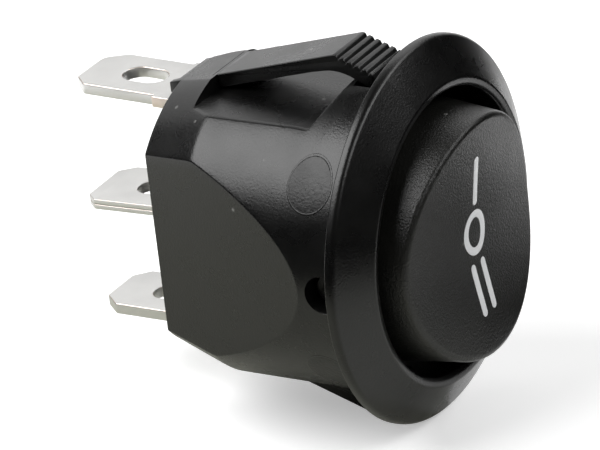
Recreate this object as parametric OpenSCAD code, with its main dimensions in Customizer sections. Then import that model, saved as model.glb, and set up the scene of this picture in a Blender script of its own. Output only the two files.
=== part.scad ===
// Round snap-in panel rocker switch, three positions, three blade terminals.
// Millimetres. X runs to the right seen from the front, Y runs back to the
// terminals, Z runs up to the position I. The origin is the centre of the
// bezel's back face, where it seats on the panel.

/* [Bezel] */
// Outside diameter of the bezel
bezel_d = 23; // [22.4:0.1:26]
// Height of the straight rim side
bezel_rim_h = 0.45; // [0.3:0.05:0.8]
// Size of the bevel between rim side and front cone
bezel_bevel = 0.18; // [0.1:0.02:0.3]
// Height of the bezel's crest above the panel
bezel_h = 2.0; // [1.6:0.05:2.6]
// Width of the outer band of the bezel's back that bears on the panel
seat_land_w = 0.65; // [0.4:0.05:0.7]
// Depth of the relief in the bezel's back inside that band
seat_relief = 0.1; // [0.05:0.01:0.2]
// Radial width of the rounded lip round the well
lip_w = 0.55; // [0.4:0.05:0.8]
// How far the lip's inner edge lies behind the crest
lip_drop = 0.2; // [0.1:0.05:0.4]
// Diameter of the well the rocker stands in
well_d = 17.1; // [16.8:0.1:17.6]
// Depth of the round well behind the panel face
well_depth = 2.4; // [2.3:0.05:2.6]

/* [Body] */
// Diameter of the barrel that passes the panel hole
body_d = 19.78; // [19.4:0.02:20.1]
// Length of the body behind the panel face
body_len = 14.5; // [14:0.1:16]
// Length of the tapered rear end
taper_len = 4.03; // [3:0.1:5]
// Angle of the tapered rear end
taper_deg = 17.9; // [12:0.5:20]
// Half distance between the slanted side flats at the rear
flat_x = 6.45; // [6:0.05:7]
// Slant of the side flats
flat_deg = 16.4; // [12:0.1:20]
// Thickness of the rear wall that holds the terminals
rear_wall = 1.6; // [1.2:0.1:2]

/* [Latches] */
// Width of a latch arm
latch_w = 3.56; // [3:0.05:4.5]
// Height of the latch plane over the axis at the rear end
latch_root_z = 8.41; // [8.3:0.01:8.5]
// Slope of a latch arm
latch_deg = 14.84; // [12:0.1:16]
// Thickness of a latch arm
latch_t = 0.87; // [0.6:0.02:1.1]
// Distance of the latch crest from the panel face
latch_crest_y = 3.7; // [3.4:0.05:4.2]
// Distance of the latch's free end from the panel face
latch_end_y = 1.2; // [1:0.05:1.6]
// Slope of the ribbed lead towards the panel
rib_deg = 20.4; // [16:0.2:24]
// Spacing of the ribs along the lead
rib_pitch = 0.48; // [0.4:0.02:0.6]
// Depth of the groove between two ribs
rib_depth = 0.16; // [0.08:0.01:0.25]
// Height of the pocket floor under a latch, over the axis
pocket_z = 8.2; // [8.1:0.02:8.3]
// Distance of the pocket's rear end from the panel face
pocket_rear_y = 11.8; // [11:0.1:12]
// Distance of the foot of the pocket's front slope from the panel face
pocket_front_y = 3.64; // [3.4:0.02:4]
// Slope of the pocket's front end, from upright
pocket_deg = 32; // [20:1:40]
// Gap on each side of a latch end in its relief
latch_gap = 0.3; // [0.2:0.05:0.5]
// Depth of the relief under a latch end, below the barrel's top
latch_relief = 0.75; // [0.5:0.05:0.8]

/* [Chamber] */
// Half width of the contact chamber
chamber_x = 5.4; // [5:0.1:5.6]
// Half height of the contact chamber
chamber_z = 7.2; // [7:0.05:7.3]
// Length of the narrower rear part of the chamber, from the body's rear end
chamber_rear_len = 5; // [4.6:0.1:5.3]
// Half width of the rear part of the chamber
chamber_rear_x = 4.4; // [4:0.1:4.6]
// Half height of the rear part of the chamber
chamber_rear_z = 7.0; // [6.8:0.05:7.1]
// Half height of the relief beside the rocker's hub
hub_relief_z = 4; // [3:0.1:5]
// Depth of the relief beside the rocker's hub
hub_relief_depth = 3.2; // [3:0.05:3.4]

/* [Rocker] */
// Distance of the rocker's hinge axis behind the panel face
hinge_y = 1.15; // [1.15:0.05:1.3]
// Radius of the rocker's trunnions
trunnion_r = 1.05; // [0.9:0.01:1.06]
// Radial clearance of the trunnions
trunnion_gap = 0.07; // [0.03:0.01:0.1]
// Distance of a trunnion's end from the axis of the barrel
trunnion_x = 8.95; // [8.85:0.05:9.4]
// Height of the face's middle over the panel face
face_h = 3.39; // [3:0.05:3.8]
// Radius of the rocker's side at the face
face_r = 7.35; // [7.2:0.05:7.5]
// Hollow radius of the face, from top to bottom
face_dish_r = 36; // [25:1:60]
// Crown radius of the face, from side to side
face_crown_r = 79; // [60:1:150]
// Growth of the rocker's side radius for each millimetre back
side_draft = 0.114; // [0.08:0.002:0.13]
// Distance of the skirt's rear edge behind the panel face
skirt_y = 0.6; // [0.3:0.05:0.7]
// Thickness of the rocker's face
face_t = 1.5; // [1.2:0.05:1.8]
// Thickness of the rocker's skirt
skirt_t = 1.3; // [1:0.05:1.6]
// Half thickness of the hub web
hub_z = 1.6; // [1.3:0.05:1.8]
// Half width of the hub web
hub_x = 7.3; // [7:0.05:7.4]
// Distance of the hub's rear edge behind the panel face
hub_y = 2.25; // [2.2:0.05:2.4]
// Outside radius of the stem
stem_r = 1.8; // [1.6:0.05:2]
// Distance from the stem's end to the contact arm
stem_clear = 1.9; // [1.6:0.05:2.4]
// Distance of the stem bore's bottom behind the panel face
stem_bore_y = 2.5; // [2:0.05:3]

/* [Marks] */
// Stroke width of the marks
mark_w = 0.58; // [0.4:0.02:0.7]
// Depth of the marks in the face
mark_depth = 0.1; // [0.06:0.01:0.2]
// Height of the marks over the face
mark_proud = 0.02; // [0:0.005:0.05]
// Clearance round the marks
mark_gap = 0.01; // [0.01:0.005:0.03]
// Height of the single bar's middle over the axis
bar_z = 3.46; // [3.2:0.02:4]
// Length of the single bar
bar_len = 3.1; // [2.8:0.05:3.8]
// Height of the ring's middle over the axis
ring_z = 0.2; // [-0.2:0.02:0.6]
// Outside width of the ring
ring_w = 2.5; // [2.1:0.05:2.8]
// Outside height of the ring
ring_len = 2.75; // [2.6:0.05:3.4]
// Distance of the double bars' middle below the axis
bars_z = 3.22; // [3.1:0.02:3.6]
// Length of the double bars
bars_len = 3.3; // [2.8:0.05:3.5]
// Spacing of the double bars
bars_pitch = 1.06; // [0.9:0.02:1.3]

/* [Terminals] */
// Spacing of the terminals
term_pitch = 7.13; // [7:0.01:7.16]
// Thickness of the blades
blade_t = 0.7; // [0.5:0.02:0.8]
// Width of the blades
blade_w = 4.7; // [4.2:0.05:4.9]
// Distance of the outer blades' tips behind the panel face
blade_y = 21.9; // [20:0.05:24]
// Distance of the middle blade's tip behind the panel face
blade_mid_y = 22.05; // [20:0.05:24]
// Width of the shoulders next to the body
shoulder_w = 5.25; // [5:0.05:5.4]
// Distance of the shoulders' end behind the panel face
shoulder_y = 16.1; // [15.4:0.05:16.4]
// Width of the tip chamfers
tip_cham_w = 0.95; // [0.6:0.05:1.2]
// Length of the tip chamfers
tip_cham_l = 0.83; // [0.6:0.05:1.2]
// Width of the long holes
eye_w = 2; // [1.6:0.05:2.2]
// Length of the long holes
eye_len = 2.9; // [2.3:0.05:3]
// Distance of the long holes' outer end from the blade tip
eye_inset = 2.4; // [2:0.05:2.8]
// Clearance of the blades in the rear wall, on each side
slot_gap = 0.05; // [0.02:0.01:0.1]
// Width of the seam groove in the folded middle blade
seam_w = 0.08; // [0.04:0.01:0.1]
// Depth of the seam groove in the folded middle blade
seam_depth = 0.12; // [0.05:0.01:0.2]

/* [Contacts] */
// Width of the terminals' inner feet
foot_w = 4; // [3.4:0.1:4.2]
// Height of the feet's inner ends over the axis
foot_z = 3.5; // [3.3:0.05:3.6]
// Height of the contacts over the axis
contact_z = 5; // [4.9:0.02:5.1]
// Radius of the fixed contact heads
fixed_r = 1.3; // [1.1:0.05:1.4]
// Thickness of the fixed contact heads
fixed_t = 0.4; // [0.3:0.02:0.45]
// Radius of the moving contact heads
moving_r = 1.2; // [1:0.05:1.3]
// Thickness of the moving contact heads
moving_t = 0.5; // [0.4:0.02:0.55]
// Radius of the rivet shanks
shank_r = 0.6; // [0.5:0.02:0.7]
// Clearance of the rivet shanks
shank_gap = 0.02; // [0.01:0.005:0.04]
// Opening of each contact pair at rest
contact_open = 0.95; // [0.8:0.05:1]
// Thickness of the contact arm
arm_t = 0.5; // [0.4:0.02:0.55]
// Half width of the contact arm
arm_x = 1.5; // [1.3:0.05:1.55]
// Half length of the contact arm
arm_z = 6.3; // [6.25:0.02:6.4]
// Corner chamfer of the contact arm
arm_cham = 0.6; // [0.4:0.05:0.8]
// Gap between the contact arm and its fulcrum
fulcrum_gap = 0.15; // [0.1:0.01:0.2]
// Half width of the fulcrum post
post_x = 2.2; // [2.1:0.05:2.4]
// Gap between the contact arm and the post's ears
ear_gap = 0.25; // [0.15:0.05:0.3]
// How far the ears reach past the contact arm
ear_reach = 0.3; // [0.1:0.05:0.5]

/* [Plunger] */
// Radius of the plunger
plunger_r = 1.1; // [0.9:0.02:1.2]
// Radial clearance of the plunger in the stem
plunger_gap = 0.07; // [0.03:0.01:0.1]
// Gap between the plunger's tip and the contact arm
tip_gap = 0.12; // [0.08:0.01:0.2]
// Length of the plunger's guided part, without its round tip
plunger_len = 2.7; // [2.2:0.05:3]
// Radius of the plunger's spring pin
plunger_pin_r = 0.6; // [0.4:0.02:0.65]
// Length of the plunger's spring pin
plunger_pin_len = 0.9; // [0.6:0.05:1.2]
// Wire radius of the spring
wire_r = 0.12; // [0.08:0.01:0.14]
// Turns of the spring
spring_turns = 6.5; // [5:0.5:8]
// Clearance of the spring in the stem
spring_gap = 0.12; // [0.08:0.01:0.2]
// Gap at each end of the spring
spring_end_gap = 0.05; // [0.02:0.01:0.1]

/* [Hidden] */
$fn = 96;
eps = 0.01;
far_out = 30;
body_r = body_d / 2;
well_r = well_d / 2;
taper_y = body_len - taper_len;
rear_r = body_r - taper_len * tan(taper_deg);
floor_y = body_len - rear_wall;
lip_r = well_r + lip_w;
latch_tan = tan(latch_deg);
rib_tan = tan(rib_deg);
crest_z = latch_root_z + (body_len - latch_crest_y) * latch_tan;
rib_n = floor((latch_crest_y - 0.14 - latch_end_y) / rib_pitch - 0.84) + 1;
draft_y = -face_h - 0.5;
side_top_y = -face_h - 2;
trunnion_hole_r = trunnion_r + trunnion_gap;
bore_r = plunger_r + plunger_gap;
slot_x = shoulder_w / 2 + slot_gap;
slot_z = blade_t / 2 + slot_gap;
foot_y = floor_y - slot_gap - blade_t;
foot_top_z = term_pitch + blade_t / 2;
fixed_y = foot_y - fixed_t;
arm_y = fixed_y - contact_open - moving_t;
arm_front_y = arm_y - arm_t;
stem_y = arm_front_y - stem_clear;
chamber_step_y = body_len - chamber_rear_len;
post_y = arm_y + fulcrum_gap;
ear_y = arm_front_y - ear_reach;
ear_x = arm_x + ear_gap;
tip_y = arm_front_y - tip_gap;
plunger_round_y = tip_y - plunger_r;
plunger_y = plunger_round_y - plunger_len;
coil_r = bore_r - spring_gap - wire_r;
coil_y0 = stem_bore_y + spring_end_gap + wire_r;
coil_y1 = plunger_y - spring_end_gap - wire_r;

// Turns a profile of radius and Y about the Y axis
module turn_y() rotate([-90, 0, 0]) rotate_extrude() children();

// Extrudes an outline of Y and Z along X, about the middle
module along_x(w) rotate([90, 0, 90]) linear_extrude(height = w, center = true) children();

// Extrudes an outline of X and Z from y0 back to y1
module along_y(y0, y1) translate([0, y1, 0]) rotate([90, 0, 0]) linear_extrude(height = y1 - y0) children();

// A block between two limits on each axis
module block(x0, x1, y0, y1, z0, z1)
    translate([x0, y0, z0]) cube([x1 - x0, y1 - y0, z1 - z0]);

// A pin along Y
module pin_y(r, y0, y1) translate([0, y0, 0]) rotate([-90, 0, 0]) cylinder(r = r, h = y1 - y0);

// ---- housing ----

module shell_solid() turn_y() polygon([
    [0, -bezel_h],
    [lip_r, -bezel_h],
    [bezel_d / 2 - bezel_bevel, -bezel_rim_h - bezel_bevel],
    [bezel_d / 2, -bezel_rim_h],
    [bezel_d / 2, 0],
    [bezel_d / 2 - seat_land_w, 0],
    [bezel_d / 2 - seat_land_w, -seat_relief],
    [body_r, -seat_relief],
    [body_r, taper_y],
    [rear_r, body_len],
    [0, body_len]]);

// The slanted flat on the right side, which ends short of the bezel
module side_flat() intersection() {
    translate([flat_x, body_len, 0]) rotate([0, 0, flat_deg])
        block(0, far_out, -far_out, far_out, -far_out, far_out);
    block(0, far_out, trunnion_hole_r + hinge_y, far_out, -far_out, far_out);
}

// What is cut away round the upper latch
module latch_pocket() {
    along_x(2 * far_out) polygon([
        [pocket_rear_y, pocket_z],
        [pocket_front_y, pocket_z],
        [pocket_front_y - (far_out - pocket_z) * tan(pocket_deg), far_out],
        [pocket_rear_y, far_out]]);
    block(-latch_w / 2 - latch_gap, latch_w / 2 + latch_gap, latch_end_y - latch_gap,
        pocket_front_y, body_r - latch_relief, far_out);
}

// Everything over the latch plane at the rear end
module latch_plane()
    translate([0, body_len, latch_root_z]) rotate([-latch_deg, 0, 0])
        block(-far_out, far_out, -(body_len - pocket_rear_y) - 1, far_out, 0, far_out);

// The upper latch arm with its ribbed lead
module latch_arm() along_x(latch_w) polygon(concat(
    [[pocket_rear_y + 1, latch_root_z + (body_len - pocket_rear_y - 1) * latch_tan],
    [latch_crest_y + 0.15, crest_z - 0.15 * latch_tan],
    [latch_crest_y - 0.1, crest_z - 0.04]],
    [for (i = [0 : rib_n - 1], k = [0 : 2])
        let (y = latch_crest_y - 0.1 - i * rib_pitch - [0.02, 0.66, 0.84][k] * rib_pitch)
        [y, crest_z - 0.04 - (latch_crest_y - 0.1 - y) * rib_tan + [0, 0.04, -rib_depth][k]]],
    [[latch_end_y, crest_z - (latch_crest_y - latch_end_y) * rib_tan - 0.1],
    [latch_end_y, crest_z - (latch_crest_y - latch_end_y) * rib_tan - latch_t],
    [latch_crest_y - 0.3, crest_z - latch_t - 0.24],
    [latch_crest_y + 1, crest_z - latch_t - latch_tan],
    [pocket_rear_y + 1, latch_root_z + (body_len - pocket_rear_y - 1) * latch_tan - latch_t]]));

// The slot for one blade in the rear wall
module blade_slot(z) block(-slot_x, slot_x, floor_y - eps, body_len + eps, z - slot_z, z + slot_z);

module housing() color([0.05, 0.05, 0.05]) difference() {
    union() {
        difference() {
            shell_solid();
            side_flat();
            mirror([1, 0, 0]) side_flat();
            latch_pocket();
            mirror([0, 0, 1]) latch_pocket();
            latch_plane();
            mirror([0, 0, 1]) latch_plane();
        }
        latch_arm();
        mirror([0, 0, 1]) latch_arm();
    }
    // rounded lip and well
    turn_y() polygon([
        [0, -bezel_h - 1],
        [lip_r + eps, -bezel_h - 1],
        [lip_r - 0.1, -bezel_h],
        [lip_r - lip_w * 0.65, -bezel_h + lip_drop * 0.3],
        [well_r, -bezel_h + lip_drop],
        [well_r, well_depth],
        [0, well_depth]]);
    // relief beside the hub
    intersection() {
        pin_y(well_r, 0, hub_relief_depth);
        block(-far_out, far_out, 0, far_out, -hub_relief_z, hub_relief_z);
    }
    block(-chamber_x, chamber_x, well_depth - 1, chamber_step_y, -chamber_z, chamber_z);
    block(-chamber_rear_x, chamber_rear_x, chamber_step_y - 1, floor_y, -chamber_rear_z, chamber_rear_z);
    block(-foot_w / 2 - slot_gap, foot_w / 2 + slot_gap, foot_y - slot_gap, floor_y,
        -foot_top_z - slot_gap, foot_top_z + slot_gap);
    translate([0, hinge_y, 0]) rotate([0, 90, 0])
        cylinder(r = trunnion_hole_r, h = 2 * far_out, center = true);
    blade_slot(term_pitch);
    blade_slot(0);
    blade_slot(-term_pitch);
}

// ---- rocker ----

// Everything in front of the dished and crowned face at height h
module face_cut(h)
    translate([0, -h - face_dish_r, 0]) rotate([0, 90, 0]) rotate_extrude() difference() {
        translate([0, -well_r]) square([face_dish_r + face_h, 2 * well_r]);
        translate([face_dish_r + face_crown_r, 0]) circle(r = face_crown_r, $fn = 360);
    }

// The tapered side of the rocker, as a solid
module rocker_side() turn_y() polygon([
    [0, side_top_y],
    [face_r + side_draft * (side_top_y - draft_y), side_top_y],
    [face_r + side_draft * (skirt_y - draft_y), skirt_y],
    [0, skirt_y]]);

module bar_shape(len, w) {
    square([w, len - w], center = true);
    for (s = [-1, 1]) translate([0, s * (len - w) / 2]) circle(d = w, $fn = 32);
}

module ring_shape(w, len, g) difference() {
    bar_shape(len + 2 * g, w + 2 * g);
    bar_shape(len - 2 * mark_w - 2 * g, w - 2 * mark_w - 2 * g);
}

// The three marks as outlines, grown by g on every side
module mark_outline(which, g) {
    if (which == 1) translate([0, bar_z]) bar_shape(bar_len + 2 * g, mark_w + 2 * g);
    if (which == 0) translate([0, ring_z]) ring_shape(ring_w, ring_len, g);
    if (which == 2) for (s = [-0.5, 0.5])
        translate([s * bars_pitch, -bars_z]) bar_shape(bars_len + 2 * g, mark_w + 2 * g);
}

// The pocket of a mark in the face
module mark_pocket(which) intersection() {
    along_y(side_top_y, 0) mark_outline(which, mark_gap);
    face_cut(face_h - mark_depth - mark_gap);
}

// The mark itself
module mark_fill(which) difference() {
    intersection() {
        along_y(side_top_y, 0) mark_outline(which, 0);
        face_cut(face_h - mark_depth);
    }
    face_cut(face_h + mark_proud);
}

module rocker() color([0.06, 0.06, 0.06]) difference() {
    union() {
        difference() {
            rocker_side();
            face_cut(face_h);
            turn_y() translate([0, -face_h + face_t])
                square([face_r + side_draft * (skirt_y - draft_y) - skirt_t, far_out]);
        }
        block(-hub_x, hub_x, -face_h + face_t - 0.5, hub_y, -hub_z, hub_z);
        pin_y(stem_r, -face_h + face_t - 0.5, stem_y);
        for (s = [-1, 1]) translate([s * (hub_x + trunnion_x) / 2, hinge_y, 0]) rotate([0, 90, 0])
            cylinder(r = trunnion_r, h = trunnion_x - hub_x + 0.4, center = true);
    }
    pin_y(bore_r, stem_bore_y, stem_y + 1);
    for (w = [0 : 2]) mark_pocket(w);
}

module mark_one() color([0.9, 0.9, 0.9]) mark_fill(1);

module mark_off() color([0.9, 0.9, 0.9]) mark_fill(0);

module mark_two() color([0.9, 0.9, 0.9]) mark_fill(2);

// ---- terminals ----

// A blade seen from above, with shoulders, chamfered tip and long hole
module blade(len_y, inner_y, inner_x) difference() {
    translate([0, 0, -blade_t / 2]) linear_extrude(height = blade_t) difference() {
        polygon([
            [-inner_x, inner_y],
            [-inner_x, floor_y],
            [-shoulder_w / 2, floor_y],
            [-shoulder_w / 2, shoulder_y],
            [-blade_w / 2, shoulder_y],
            [-blade_w / 2, len_y - tip_cham_l],
            [-blade_w / 2 + tip_cham_w, len_y],
            [blade_w / 2 - tip_cham_w, len_y],
            [blade_w / 2, len_y - tip_cham_l],
            [blade_w / 2, shoulder_y],
            [shoulder_w / 2, shoulder_y],
            [shoulder_w / 2, floor_y],
            [inner_x, floor_y],
            [inner_x, inner_y]]);
        translate([0, len_y - eye_inset - eye_len / 2]) square([eye_w, eye_len - eye_w], center = true);
        for (s = [-1, 1]) translate([0, len_y - eye_inset - eye_len / 2 + s * (eye_len - eye_w) / 2])
            circle(d = eye_w, $fn = 48);
    }
}

// An outer terminal: blade and inner foot with the hole for its rivet
module outer_terminal() difference() {
    union() {
        translate([0, 0, term_pitch]) blade(blade_y, foot_y, foot_w / 2);
        block(-foot_w / 2, foot_w / 2, foot_y, foot_y + blade_t, foot_z, foot_top_z);
    }
    translate([0, 0, contact_z]) pin_y(shank_r + shank_gap, foot_y - 1, floor_y + 1);
}

module terminal_upper() color([0.84, 0.83, 0.81]) outer_terminal();

module terminal_lower() color([0.84, 0.83, 0.81]) mirror([0, 0, 1]) outer_terminal();

// The folded middle terminal with the fulcrum post and its two ears
module terminal_centre() color([0.84, 0.83, 0.81]) difference() {
    union() {
        blade(blade_mid_y, post_y, post_x);
        for (s = [-1, 1]) translate([s * (post_x + ear_x) / 2, 0, 0])
            block(-(post_x - ear_x) / 2, (post_x - ear_x) / 2, ear_y, post_y + 0.2, -blade_t / 2, blade_t / 2);
    }
    for (s = [-1, 1]) translate([s * blade_w / 2, 0, 0])
        block(-seam_depth, seam_depth, shoulder_y, blade_mid_y - tip_cham_l, -seam_w / 2, seam_w / 2);
    block(-blade_w / 2, blade_w / 2, blade_mid_y - seam_depth, blade_mid_y + 1, -seam_w / 2, seam_w / 2);
}

// ---- contacts ----

module fixed_contact() translate([0, 0, contact_z]) {
    pin_y(fixed_r, fixed_y, foot_y);
    pin_y(shank_r, fixed_y + fixed_t / 2, foot_y + blade_t);
}

module fixed_contact_upper() color([0.8, 0.8, 0.82]) fixed_contact();

module fixed_contact_lower() color([0.8, 0.8, 0.82]) mirror([0, 0, 1]) fixed_contact();

module contact_arm() color([0.78, 0.6, 0.3]) difference() {
    along_y(arm_front_y, arm_y) polygon([
        [-arm_x, -arm_z + arm_cham],
        [-arm_x + arm_cham, -arm_z],
        [arm_x - arm_cham, -arm_z],
        [arm_x, -arm_z + arm_cham],
        [arm_x, arm_z - arm_cham],
        [arm_x - arm_cham, arm_z],
        [-arm_x + arm_cham, arm_z],
        [-arm_x, arm_z - arm_cham]]);
    for (s = [-1, 1]) translate([0, 0, s * contact_z])
        pin_y(shank_r + shank_gap, arm_front_y - 1, arm_y + 1);
}

module moving_contact() translate([0, 0, contact_z]) {
    pin_y(moving_r, arm_y, arm_y + moving_t);
    pin_y(shank_r, arm_front_y, arm_y + moving_t / 2);
}

module moving_contact_upper() color([0.8, 0.8, 0.82]) moving_contact();

module moving_contact_lower() color([0.8, 0.8, 0.82]) mirror([0, 0, 1]) moving_contact();

// ---- plunger and spring ----

module plunger() color([0.85, 0.83, 0.78]) union() {
    pin_y(plunger_r, plunger_y, plunger_round_y);
    translate([0, plunger_round_y, 0]) sphere(r = plunger_r);
    pin_y(plunger_pin_r, plunger_y - plunger_pin_len, plunger_y + 0.2);
}

wire_sides = 6;
coil_steps = 14;
coil_n = round(spring_turns * coil_steps);
module spring() color([0.7, 0.7, 0.7]) polyhedron(
    points = [for (i = [0 : coil_n], k = [0 : wire_sides - 1])
        let (a = 360 * i / coil_steps, b = 360 * k / wire_sides,
            r = coil_r + wire_r * cos(b), y = coil_y0 + (coil_y1 - coil_y0) * i / coil_n)
        [r * cos(a), y + wire_r * sin(b), r * sin(a)]],
    faces = concat(
        [[for (k = [wire_sides - 1 : -1 : 0]) k]],
        [[for (k = [0 : wire_sides - 1]) coil_n * wire_sides + k]],
        [for (i = [0 : coil_n - 1], k = [0 : wire_sides - 1])
            [i * wire_sides + k, i * wire_sides + (k + 1) % wire_sides,
            (i + 1) * wire_sides + (k + 1) % wire_sides, (i + 1) * wire_sides + k]]),
    convexity = 10);

housing();
rocker();
mark_one();
mark_off();
mark_two();
terminal_upper();
terminal_centre();
terminal_lower();
fixed_contact_upper();
fixed_contact_lower();
contact_arm();
moving_contact_upper();
moving_contact_lower();
plunger();
spring();
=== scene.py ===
import math

import bmesh
import bpy
import numpy as np
from mathutils import Matrix, Vector


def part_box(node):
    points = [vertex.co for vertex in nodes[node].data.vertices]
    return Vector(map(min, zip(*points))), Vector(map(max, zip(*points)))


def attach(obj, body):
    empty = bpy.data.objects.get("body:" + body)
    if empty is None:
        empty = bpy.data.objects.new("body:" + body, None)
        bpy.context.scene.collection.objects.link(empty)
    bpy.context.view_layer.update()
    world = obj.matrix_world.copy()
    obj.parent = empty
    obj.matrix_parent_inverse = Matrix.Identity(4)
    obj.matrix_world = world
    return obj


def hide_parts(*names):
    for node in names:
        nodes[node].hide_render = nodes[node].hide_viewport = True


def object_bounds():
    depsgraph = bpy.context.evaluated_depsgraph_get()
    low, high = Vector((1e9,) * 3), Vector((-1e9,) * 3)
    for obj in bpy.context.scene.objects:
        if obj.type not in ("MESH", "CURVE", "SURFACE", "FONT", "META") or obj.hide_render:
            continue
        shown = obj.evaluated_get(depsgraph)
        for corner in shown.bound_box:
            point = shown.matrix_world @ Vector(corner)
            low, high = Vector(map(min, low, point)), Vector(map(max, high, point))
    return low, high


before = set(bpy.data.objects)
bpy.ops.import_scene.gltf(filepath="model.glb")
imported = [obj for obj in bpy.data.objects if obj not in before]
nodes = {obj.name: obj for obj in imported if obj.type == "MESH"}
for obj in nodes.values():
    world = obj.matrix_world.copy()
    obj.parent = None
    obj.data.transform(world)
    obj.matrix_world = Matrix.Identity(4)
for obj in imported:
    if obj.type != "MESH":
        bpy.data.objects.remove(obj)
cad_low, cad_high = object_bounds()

# A round snap-in rocker switch. Lengths in the maker's drawings below are in
# millimetres; MM turns them into the frame's metres.
MM = 0.001


def box_mm(node):
    """A node's lowest and highest corners in millimetres."""
    low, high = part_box(node)
    return np.array(low) / MM, np.array(high) / MM


house_low, house_high = box_mm("housing")

# ---- sizes of the housing ----
BEZEL_R = house_high[0]
CREST_Y = house_low[1]
BODY_END = house_high[1]
REAR_Y = BODY_END - 0.07
RIM_H = 0.45
LIP_R = 9.1
LIP_DROP = 0.2
WELL_R = 8.55
WELL_DEPTH = 2.4
BODY_R = 9.89
TAPER_LEN = 4.03
TAPER_LEN_SQUARE = 16.2
TAPER_Y = BODY_END - TAPER_LEN
TAPER_TAN = math.tan(math.radians(17.9))
FLAT_X = 6.45
FLAT_TAN = math.tan(math.radians(16.4))
LATCH_Z = 8.41
LATCH_TAN = math.tan(math.radians(14.84))
LATCH_HALF = 1.78
LATCH_T = 0.87
CREST_LATCH_Y = 3.7
LATCH_END_Y = 1.2
RIB_TAN = math.tan(math.radians(20.4))
RIB_PITCH = 0.48
RIB_DEPTH = 0.16
POCKET_Z = 8.2
POCKET_REAR = 11.8
POCKET_FRONT = 3.64
POCKET_TAN = math.tan(math.radians(32))
RELIEF_END_Y = 2.4
HINGE_Y = 1.15
HOLE_R = 1.12
LATCH_ROOT_Y = POCKET_REAR + 0.28
WALL_END_Y = POCKET_REAR + 0.02
CHAMBER_END = BODY_END - 1.6
FOOT_Y = CHAMBER_END - 0.75
EJECTOR_Y = 2.41
EJECTOR_Z = 5.9
EJECTOR_R = 1.4

# ---- sizes of the rocker ----
FACE_H = 3.39
FACE_R = 7.35
DRAFT = 0.114
SKIRT_Y = 0.6
TRUNNION_X = 8.87
STEM_END = 7.9

# ---- sizes of the terminals ----
BLADE_Z = 7.13
BLADE_W = 4.7
BLADE_T = 0.7
SHOULDER_W = 5.25
SHOULDER_Y = 16.1

# ---- light ----
# name, az, el, distance in mm, width and height in degrees, brightness
LAMPS = (
    ("key_softbox", -138, 50, 300, 50, 41, 5.9),
    ("front_softbox", 14, 43, 330, 78, 22, 4.0),
    ("right_softbox", 92, 42, 330, 60, 28, 1.6),
    ("back_right_softbox", 152, 34, 320, 40, 22, 1.4),
    ("low_right_softbox", 122, 13, 340, 58, 34, 0.95),
)
FLOOR_GLOW = 0.4

# ---- mesh helpers ----


def new_piece(name, verts, faces, smooth_deg=35.0):
    """A piece from points in millimetres and faces.

    Its edges are sharp where the surface turns by more than smooth_deg.
    """
    mesh = bpy.data.meshes.new(name)
    points = [tuple(float(c) * MM for c in v) for v in verts]
    mesh.from_pydata(points, [], [tuple(int(i) for i in f) for f in faces])
    mesh.validate()
    piece = bpy.data.objects.new(name, mesh)
    bpy.context.scene.collection.objects.link(piece)
    outward(mesh)
    finish_shading(mesh, smooth_deg)
    return piece


def outward(mesh):
    """Turns every face outward."""
    bm = bmesh.new()
    bm.from_mesh(mesh)
    bmesh.ops.recalc_face_normals(bm, faces=bm.faces)
    bm.to_mesh(mesh)
    bm.free()


def finish_shading(mesh, smooth_deg):
    """Smooth shading, with sharp edges where the surface turns by more than smooth_deg."""
    mesh.shade_smooth()
    mesh.set_sharp_from_angle(angle=math.radians(smooth_deg))


def settle(piece, smooth_deg=35.0):
    """Turns a piece's modifiers into its own mesh."""
    bpy.context.view_layer.update()
    graph = bpy.context.evaluated_depsgraph_get()
    made = bpy.data.meshes.new_from_object(piece.evaluated_get(graph))
    made.name = piece.name
    piece.modifiers.clear()
    piece.data = made
    if smooth_deg is not None:
        finish_shading(made, smooth_deg)
    return piece


def cut(piece, cutter):
    """Adds the cut of one cutter, which settle then makes."""
    step = piece.modifiers.new("cut", "BOOLEAN")
    step.operation = "DIFFERENCE"
    step.solver = "EXACT"
    step.object = cutter


def weigh_normals(piece):
    """Keeps broad flat faces flat beside their small rounded edges."""
    step = piece.modifiers.new("normals", "WEIGHTED_NORMAL")
    step.mode = "FACE_AREA"
    step.weight = 60
    step.keep_sharp = True


def drop(*objects):
    for o in objects:
        bpy.data.objects.remove(o)


def rings_to_mesh(rings, closed_ends=True):
    """Joins a stack of closed rings, each with as many points, into one skin, with a flat cap at each end."""
    count = len(rings[0])
    verts = [p for ring in rings for p in ring]
    faces = []
    for i in range(len(rings) - 1):
        for k in range(count):
            a, b = i * count + k, i * count + (k + 1) % count
            faces.append((a, b, b + count, a + count))
    if closed_ends:
        faces.append(tuple(range(count - 1, -1, -1)))
        last = (len(rings) - 1) * count
        faces.append(tuple(range(last, last + count)))
    return verts, faces


def round_corners(points, radii, steps=5):
    """A polyline with its corners rounded. radii is one radius for all points or a list."""
    out = []
    n = len(points)
    for i, p in enumerate(points):
        r = radii[i] if hasattr(radii, "__len__") else radii
        if i in (0, n - 1) or r <= 0:
            out.append(tuple(p))
            continue
        out += corner(points[i - 1], p, points[i + 1], r, steps)
    return out


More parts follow.
